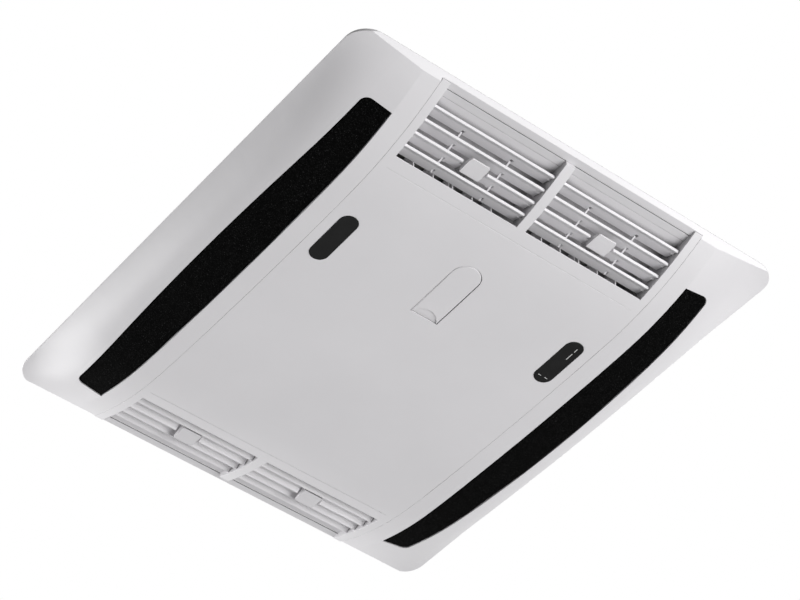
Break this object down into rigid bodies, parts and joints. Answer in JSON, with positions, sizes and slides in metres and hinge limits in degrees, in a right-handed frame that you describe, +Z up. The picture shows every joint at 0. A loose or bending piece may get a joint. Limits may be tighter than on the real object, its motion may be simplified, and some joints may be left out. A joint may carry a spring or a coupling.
{
  "type": "rooftop air conditioner ceiling panel",
  "caption": "Curved ceiling panel of a rooftop air conditioner: louvred vents with tilting slats and steerable vanes at both ends, a foam filter along each side and a service flap.",
  "frame": {"origin": "middle of the face that meets the ceiling, at the centre of the four fixing holes", "axes": "+Z up into the roof unit, +Y along the filters, +X along the louvre slats; the room is at -Z"},
  "size_m": [0.49, 0.571, 0.0783],
  "materials": {
    "shell_plastic": "satin",
    "slat_plastic": "satin",
    "duct_plastic": "matte",
    "filter_foam": "open-cell foam",
    "gasket_foam": "closed-cell foam",
    "dark_gloss": "glossy",
    "board": "lacquered",
    "lights": "clear"
  },
  "bodies": {
    "panel": {"outer_frame": "shell_plastic", "centre_cover": "shell_plastic", "supply_tray": "duct_plastic", "supply_lid": "duct_plastic", "duct_gasket": "gasket_foam", "badge_plate": "dark_gloss", "control_window": "dark_gloss", "control_board": "board", "board_lights": "lights"},
    "service_flap": {"service_flap": "shell_plastic"},
    "left_filter": {"left_filter": "filter_foam"},
    "right_filter": {"right_filter": "filter_foam"},
    "front_left_slat_1": {"front_left_slat_1": "slat_plastic"},
    "front_left_slat_2": {"front_left_slat_2": "slat_plastic"},
    "front_left_slat_3": {"front_left_slat_3": "slat_plastic"},
    "front_left_slat_4": {"front_left_slat_4": "slat_plastic"},
    "front_left_slat_links": {"front_left_slat_links": "slat_plastic"},
    "front_left_slider": {"front_left_slider": "slat_plastic"},
    "front_left_vane_1": {"front_left_vane_1": "slat_plastic"},
    "front_left_vane_2": {"front_left_vane_2": "slat_plastic"},
    "front_left_vane_3": {"front_left_vane_3": "slat_plastic"},
    "front_left_vane_4": {"front_left_vane_4": "slat_plastic"},
    "front_left_vane_5": {"front_left_vane_5": "slat_plastic"},
    "front_left_vane_tie": {"front_left_vane_tie": "slat_plastic"},
    "front_right_slat_1": {"front_right_slat_1": "slat_plastic"},
    "front_right_slat_2": {"front_right_slat_2": "slat_plastic"},
    "front_right_slat_3": {"front_right_slat_3": "slat_plastic"},
    "front_right_slat_4": {"front_right_slat_4": "slat_plastic"},
    "front_right_slat_links": {"front_right_slat_links": "slat_plastic"},
    "front_right_slider": {"front_right_slider": "slat_plastic"},
    "front_right_vane_1": {"front_right_vane_1": "slat_plastic"},
    "front_right_vane_2": {"front_right_vane_2": "slat_plastic"},
    "front_right_vane_3": {"front_right_vane_3": "slat_plastic"},
    "front_right_vane_4": {"front_right_vane_4": "slat_plastic"},
    "front_right_vane_5": {"front_right_vane_5": "slat_plastic"},
    "front_right_vane_tie": {"front_right_vane_tie": "slat_plastic"},
    "rear_left_slat_1": {"rear_left_slat_1": "slat_plastic"},
    "rear_left_slat_2": {"rear_left_slat_2": "slat_plastic"},
    "rear_left_slat_3": {"rear_left_slat_3": "slat_plastic"},
    "rear_left_slat_4": {"rear_left_slat_4": "slat_plastic"},
    "rear_left_slat_links": {"rear_left_slat_links": "slat_plastic"},
    "rear_left_slider": {"rear_left_slider": "slat_plastic"},
    "rear_left_vane_1": {"rear_left_vane_1": "slat_plastic"},
    "rear_left_vane_2": {"rear_left_vane_2": "slat_plastic"},
    "rear_left_vane_3": {"rear_left_vane_3": "slat_plastic"},
    "rear_left_vane_4": {"rear_left_vane_4": "slat_plastic"},
    "rear_left_vane_5": {"rear_left_vane_5": "slat_plastic"},
    "rear_left_vane_tie": {"rear_left_vane_tie": "slat_plastic"},
    "rear_right_slat_1": {"rear_right_slat_1": "slat_plastic"},
    "rear_right_slat_2": {"rear_right_slat_2": "slat_plastic"},
    "rear_right_slat_3": {"rear_right_slat_3": "slat_plastic"},
    "rear_right_slat_4": {"rear_right_slat_4": "slat_plastic"},
    "rear_right_slat_links": {"rear_right_slat_links": "slat_plastic"},
    "rear_right_slider": {"rear_right_slider": "slat_plastic"},
    "rear_right_vane_1": {"rear_right_vane_1": "slat_plastic"},
    "rear_right_vane_2": {"rear_right_vane_2": "slat_plastic"},
    "rear_right_vane_3": {"rear_right_vane_3": "slat_plastic"},
    "rear_right_vane_4": {"rear_right_vane_4": "slat_plastic"},
    "rear_right_vane_5": {"rear_right_vane_5": "slat_plastic"},
    "rear_right_vane_tie": {"rear_right_vane_tie": "slat_plastic"}
  },
  "joints": [
    {"name": "flap_hinge", "type": "hinge", "parent": "panel", "child": "service_flap", "pos_m": [-0.0056, -0.1313, -0.03961], "axis": [-1, 0, 0], "range_deg": [0, 55]},
    {"name": "left_filter_pull", "type": "slide", "parent": "panel", "child": "left_filter", "axis": [0, 0, -1], "range_m": [0, 0.06]},
    {"name": "right_filter_pull", "type": "slide", "parent": "panel", "child": "right_filter", "axis": [0, 0, -1], "range_m": [0, 0.06]},
    {"name": "front_left_slat_1_tilt", "type": "hinge", "parent": "panel", "child": "front_left_slat_1", "pos_m": [-0.0741, -0.20732, -0.02465], "axis": [1, 0, 0], "range_deg": [-12, 10]},
    {"name": "front_left_slat_2_tilt", "type": "hinge", "parent": "panel", "child": "front_left_slat_2", "pos_m": [-0.0741, -0.22157, -0.02062], "axis": [1, 0, 0], "range_deg": [-12, 10]},
    {"name": "front_left_slat_3_tilt", "type": "hinge", "parent": "panel", "child": "front_left_slat_3", "pos_m": [-0.0741, -0.23582, -0.01588], "axis": [1, 0, 0], "range_deg": [-12, 10]},
    {"name": "front_left_slat_4_tilt", "type": "hinge", "parent": "panel", "child": "front_left_slat_4", "pos_m": [-0.0741, -0.25007, -0.01042], "axis": [1, 0, 0], "range_deg": [-12, 10]},
    {"name": "front_left_slat_links_swing", "type": "hinge", "parent": "front_left_slat_2", "child": "front_left_slat_links", "pos_m": [-0.0741, -0.21415, -0.01823], "axis": [1, 0, 0], "range_deg": [-10, 12]},
    {"name": "front_left_slider_slide", "type": "slide", "parent": "front_left_slat_2", "child": "front_left_slider", "axis": [1, 0, 0], "range_m": [-0.0028, 0.0028]},
    {"name": "front_left_vane_1_turn", "type": "hinge", "parent": "panel", "child": "front_left_vane_1", "pos_m": [-0.1187, -0.186, -0.0273], "axis": [0, 0, 1], "range_deg": [-17, 17]},
    {"name": "front_left_vane_2_turn", "type": "hinge", "parent": "panel", "child": "front_left_vane_2", "pos_m": [-0.0964, -0.186, -0.0273], "axis": [0, 0, 1], "range_deg": [-17, 17]},
    {"name": "front_left_vane_3_turn", "type": "hinge", "parent": "panel", "child": "front_left_vane_3", "pos_m": [-0.0741, -0.186, -0.0273], "axis": [0, 0, 1], "range_deg": [-17, 17]},
    {"name": "front_left_vane_4_turn", "type": "hinge", "parent": "panel", "child": "front_left_vane_4", "pos_m": [-0.0518, -0.186, -0.0273], "axis": [0, 0, 1], "range_deg": [-17, 17]},
    {"name": "front_left_vane_5_turn", "type": "hinge", "parent": "panel", "child": "front_left_vane_5", "pos_m": [-0.0295, -0.186, -0.0273], "axis": [0, 0, 1], "range_deg": [-17, 17]},
    {"name": "front_left_vane_tie_swing", "type": "hinge", "parent": "front_left_vane_3", "child": "front_left_vane_tie", "pos_m": [-0.0741, -0.1803, -0.0267], "axis": [0, 0, 1], "range_deg": [-17, 17]},
    {"name": "front_right_slat_1_tilt", "type": "hinge", "parent": "panel", "child": "front_right_slat_1", "pos_m": [0.0741, -0.20732, -0.02465], "axis": [1, 0, 0], "range_deg": [-12, 10]},
    {"name": "front_right_slat_2_tilt", "type": "hinge", "parent": "panel", "child": "front_right_slat_2", "pos_m": [0.0741, -0.22157, -0.02062], "axis": [1, 0, 0], "range_deg": [-12, 10]},
    {"name": "front_right_slat_3_tilt", "type": "hinge", "parent": "panel", "child": "front_right_slat_3", "pos_m": [0.0741, -0.23582, -0.01588], "axis": [1, 0, 0], "range_deg": [-12, 10]},
    {"name": "front_right_slat_4_tilt", "type": "hinge", "parent": "panel", "child": "front_right_slat_4", "pos_m": [0.0741, -0.25007, -0.01042], "axis": [1, 0, 0], "range_deg": [-12, 10]},
    {"name": "front_right_slat_links_swing", "type": "hinge", "parent": "front_right_slat_2", "child": "front_right_slat_links", "pos_m": [0.0741, -0.21415, -0.01823], "axis": [1, 0, 0], "range_deg": [-10, 12]},
    {"name": "front_right_slider_slide", "type": "slide", "parent": "front_right_slat_2", "child": "front_right_slider", "axis": [1, 0, 0], "range_m": [-0.0028, 0.0028]},
    {"name": "front_right_vane_1_turn", "type": "hinge", "parent": "panel", "child": "front_right_vane_1", "pos_m": [0.0295, -0.186, -0.0273], "axis": [0, 0, 1], "range_deg": [-17, 17]},
    {"name": "front_right_vane_2_turn", "type": "hinge", "parent": "panel", "child": "front_right_vane_2", "pos_m": [0.0518, -0.186, -0.0273], "axis": [0, 0, 1], "range_deg": [-17, 17]},
    {"name": "front_right_vane_3_turn", "type": "hinge", "parent": "panel", "child": "front_right_vane_3", "pos_m": [0.0741, -0.186, -0.0273], "axis": [0, 0, 1], "range_deg": [-17, 17]},
    {"name": "front_right_vane_4_turn", "type": "hinge", "parent": "panel", "child": "front_right_vane_4", "pos_m": [0.0964, -0.186, -0.0273], "axis": [0, 0, 1], "range_deg": [-17, 17]},
    {"name": "front_right_vane_5_turn", "type": "hinge", "parent": "panel", "child": "front_right_vane_5", "pos_m": [0.1187, -0.186, -0.0273], "axis": [0, 0, 1], "range_deg": [-17, 17]},
    {"name": "front_right_vane_tie_swing", "type": "hinge", "parent": "front_right_vane_3", "child": "front_right_vane_tie", "pos_m": [0.0741, -0.1803, -0.0267], "axis": [0, 0, 1], "range_deg": [-17, 17]},
    {"name": "rear_left_slat_1_tilt", "type": "hinge", "parent": "panel", "child": "rear_left_slat_1", "pos_m": [-0.0741, 0.20732, -0.02465], "axis": [-1, 0, 0], "range_deg": [-12, 10]},
    {"name": "rear_left_slat_2_tilt", "type": "hinge", "parent": "panel", "child": "rear_left_slat_2", "pos_m": [-0.0741, 0.22157, -0.02062], "axis": [-1, 0, 0], "range_deg": [-12, 10]},
    {"name": "rear_left_slat_3_tilt", "type": "hinge", "parent": "panel", "child": "rear_left_slat_3", "pos_m": [-0.0741, 0.23582, -0.01588], "axis": [-1, 0, 0], "range_deg": [-12, 10]},
    {"name": "rear_left_slat_4_tilt", "type": "hinge", "parent": "panel", "child": "rear_left_slat_4", "pos_m": [-0.0741, 0.25007, -0.01042], "axis": [-1, 0, 0], "range_deg": [-12, 10]},
    {"name": "rear_left_slat_links_swing", "type": "hinge", "parent": "rear_left_slat_2", "child": "rear_left_slat_links", "pos_m": [-0.0741, 0.21415, -0.01823], "axis": [-1, 0, 0], "range_deg": [-10, 12]},
    {"name": "rear_left_slider_slide", "type": "slide", "parent": "rear_left_slat_2", "child": "rear_left_slider", "axis": [1, 0, 0], "range_m": [-0.0028, 0.0028]},
    {"name": "rear_left_vane_1_turn", "type": "hinge", "parent": "panel", "child": "rear_left_vane_1", "pos_m": [-0.1187, 0.186, -0.0273], "axis": [0, 0, 1], "range_deg": [-17, 17]},
    {"name": "rear_left_vane_2_turn", "type": "hinge", "parent": "panel", "child": "rear_left_vane_2", "pos_m": [-0.0964, 0.186, -0.0273], "axis": [0, 0, 1], "range_deg": [-17, 17]},
    {"name": "rear_left_vane_3_turn", "type": "hinge", "parent": "panel", "child": "rear_left_vane_3", "pos_m": [-0.0741, 0.186, -0.0273], "axis": [0, 0, 1], "range_deg": [-17, 17]},
    {"name": "rear_left_vane_4_turn", "type": "hinge", "parent": "panel", "child": "rear_left_vane_4", "pos_m": [-0.0518, 0.186, -0.0273], "axis": [0, 0, 1], "range_deg": [-17, 17]},
    {"name": "rear_left_vane_5_turn", "type": "hinge", "parent": "panel", "child": "rear_left_vane_5", "pos_m": [-0.0295, 0.186, -0.0273], "axis": [0, 0, 1], "range_deg": [-17, 17]},
    {"name": "rear_left_vane_tie_swing", "type": "hinge", "parent": "rear_left_vane_3", "child": "rear_left_vane_tie", "pos_m": [-0.0741, 0.1803, -0.0267], "axis": [0, 0, 1], "range_deg": [-17, 17]},
    {"name": "rear_right_slat_1_tilt", "type": "hinge", "parent": "panel", "child": "rear_right_slat_1", "pos_m": [0.0741, 0.20732, -0.02465], "axis": [-1, 0, 0], "range_deg": [-12, 10]},
    {"name": "rear_right_slat_2_tilt", "type": "hinge", "parent": "panel", "child": "rear_right_slat_2", "pos_m": [0.0741, 0.22157, -0.02062], "axis": [-1, 0, 0], "range_deg": [-12, 10]},
    {"name": "rear_right_slat_3_tilt", "type": "hinge", "parent": "panel", "child": "rear_right_slat_3", "pos_m": [0.0741, 0.23582, -0.01588], "axis": [-1, 0, 0], "range_deg": [-12, 10]},
    {"name": "rear_right_slat_4_tilt", "type": "hinge", "parent": "panel", "child": "rear_right_slat_4", "pos_m": [0.0741, 0.25007, -0.01042], "axis": [-1, 0, 0], "range_deg": [-12, 10]},
    {"name": "rear_right_slat_links_swing", "type": "hinge", "parent": "rear_right_slat_2", "child": "rear_right_slat_links", "pos_m": [0.0741, 0.21415, -0.01823], "axis": [-1, 0, 0], "range_deg": [-10, 12]},
    {"name": "rear_right_slider_slide", "type": "slide", "parent": "rear_right_slat_2", "child": "rear_right_slider", "axis": [1, 0, 0], "range_m": [-0.0028, 0.0028]},
    {"name": "rear_right_vane_1_turn", "type": "hinge", "parent": "panel", "child": "rear_right_vane_1", "pos_m": [0.0295, 0.186, -0.0273], "axis": [0, 0, 1], "range_deg": [-17, 17]},
    {"name": "rear_right_vane_2_turn", "type": "hinge", "parent": "panel", "child": "rear_right_vane_2", "pos_m": [0.0518, 0.186, -0.0273], "axis": [0, 0, 1], "range_deg": [-17, 17]},
    {"name": "rear_right_vane_3_turn", "type": "hinge", "parent": "panel", "child": "rear_right_vane_3", "pos_m": [0.0741, 0.186, -0.0273], "axis": [0, 0, 1], "range_deg": [-17, 17]},
    {"name": "rear_right_vane_4_turn", "type": "hinge", "parent": "panel", "child": "rear_right_vane_4", "pos_m": [0.0964, 0.186, -0.0273], "axis": [0, 0, 1], "range_deg": [-17, 17]},
    {"name": "rear_right_vane_5_turn", "type": "hinge", "parent": "panel", "child": "rear_right_vane_5", "pos_m": [0.1187, 0.186, -0.0273], "axis": [0, 0, 1], "range_deg": [-17, 17]},
    {"name": "rear_right_vane_tie_swing", "type": "hinge", "parent": "rear_right_vane_3", "child": "rear_right_vane_tie", "pos_m": [0.0741, 0.1803, -0.0267], "axis": [0, 0, 1], "range_deg": [-17, 17]}
  ],
  "couplings": [
    {"joint": "front_left_slat_1_tilt", "follows": "front_left_slat_2_tilt", "ratio": 1},
    {"joint": "front_left_slat_3_tilt", "follows": "front_left_slat_2_tilt", "ratio": 1},
    {"joint": "front_left_slat_4_tilt", "follows": "front_left_slat_2_tilt", "ratio": 1},
    {"joint": "front_left_slat_links_swing", "follows": "front_left_slat_2_tilt", "ratio": -1},
    {"joint": "front_left_vane_1_turn", "follows": "front_left_slider_slide", "rad_per_m": 104.5},
    {"joint": "front_left_vane_2_turn", "follows": "front_left_slider_slide", "rad_per_m": 104.5},
    {"joint": "front_left_vane_3_turn", "follows": "front_left_slider_slide", "rad_per_m": 104.5},
    {"joint": "front_left_vane_4_turn", "follows": "front_left_slider_slide", "rad_per_m": 104.5},
    {"joint": "front_left_vane_5_turn", "follows": "front_left_slider_slide", "rad_per_m": 104.5},
    {"joint": "front_left_vane_tie_swing", "follows": "front_left_slider_slide", "rad_per_m": -104.5},
    {"joint": "front_right_slat_1_tilt", "follows": "front_right_slat_2_tilt", "ratio": 1},
    {"joint": "front_right_slat_3_tilt", "follows": "front_right_slat_2_tilt", "ratio": 1},
    {"joint": "front_right_slat_4_tilt", "follows": "front_right_slat_2_tilt", "ratio": 1},
    {"joint": "front_right_slat_links_swing", "follows": "front_right_slat_2_tilt", "ratio": -1},
    {"joint": "front_right_vane_1_turn", "follows": "front_right_slider_slide", "rad_per_m": 104.5},
    {"joint": "front_right_vane_2_turn", "follows": "front_right_slider_slide", "rad_per_m": 104.5},
    {"joint": "front_right_vane_3_turn", "follows": "front_right_slider_slide", "rad_per_m": 104.5},
    {"joint": "front_right_vane_4_turn", "follows": "front_right_slider_slide", "rad_per_m": 104.5},
    {"joint": "front_right_vane_5_turn", "follows": "front_right_slider_slide", "rad_per_m": 104.5},
    {"joint": "front_right_vane_tie_swing", "follows": "front_right_slider_slide", "rad_per_m": -104.5},
    {"joint": "rear_left_slat_1_tilt", "follows": "rear_left_slat_2_tilt", "ratio": 1},
    {"joint": "rear_left_slat_3_tilt", "follows": "rear_left_slat_2_tilt", "ratio": 1},
    {"joint": "rear_left_slat_4_tilt", "follows": "rear_left_slat_2_tilt", "ratio": 1},
    {"joint": "rear_left_slat_links_swing", "follows": "rear_left_slat_2_tilt", "ratio": -1},
    {"joint": "rear_left_vane_1_turn", "follows": "rear_left_slider_slide", "rad_per_m": -104.5},
    {"joint": "rear_left_vane_2_turn", "follows": "rear_left_slider_slide", "rad_per_m": -104.5},
    {"joint": "rear_left_vane_3_turn", "follows": "rear_left_slider_slide", "rad_per_m": -104.5},
    {"joint": "rear_left_vane_4_turn", "follows": "rear_left_slider_slide", "rad_per_m": -104.5},
    {"joint": "rear_left_vane_5_turn", "follows": "rear_left_slider_slide", "rad_per_m": -104.5},
    {"joint": "rear_left_vane_tie_swing", "follows": "rear_left_slider_slide", "rad_per_m": 104.5},
    {"joint": "rear_right_slat_1_tilt", "follows": "rear_right_slat_2_tilt", "ratio": 1},
    {"joint": "rear_right_slat_3_tilt", "follows": "rear_right_slat_2_tilt", "ratio": 1},
    {"joint": "rear_right_slat_4_tilt", "follows": "rear_right_slat_2_tilt", "ratio": 1},
    {"joint": "rear_right_slat_links_swing", "follows": "rear_right_slat_2_tilt", "ratio": -1},
    {"joint": "rear_right_vane_1_turn", "follows": "rear_right_slider_slide", "rad_per_m": -104.5},
    {"joint": "rear_right_vane_2_turn", "follows": "rear_right_slider_slide", "rad_per_m": -104.5},
    {"joint": "rear_right_vane_3_turn", "follows": "rear_right_slider_slide", "rad_per_m": -104.5},
    {"joint": "rear_right_vane_4_turn", "follows": "rear_right_slider_slide", "rad_per_m": -104.5},
    {"joint": "rear_right_vane_5_turn", "follows": "rear_right_slider_slide", "rad_per_m": -104.5},
    {"joint": "rear_right_vane_tie_swing", "follows": "rear_right_slider_slide", "rad_per_m": 104.5}
  ]
}
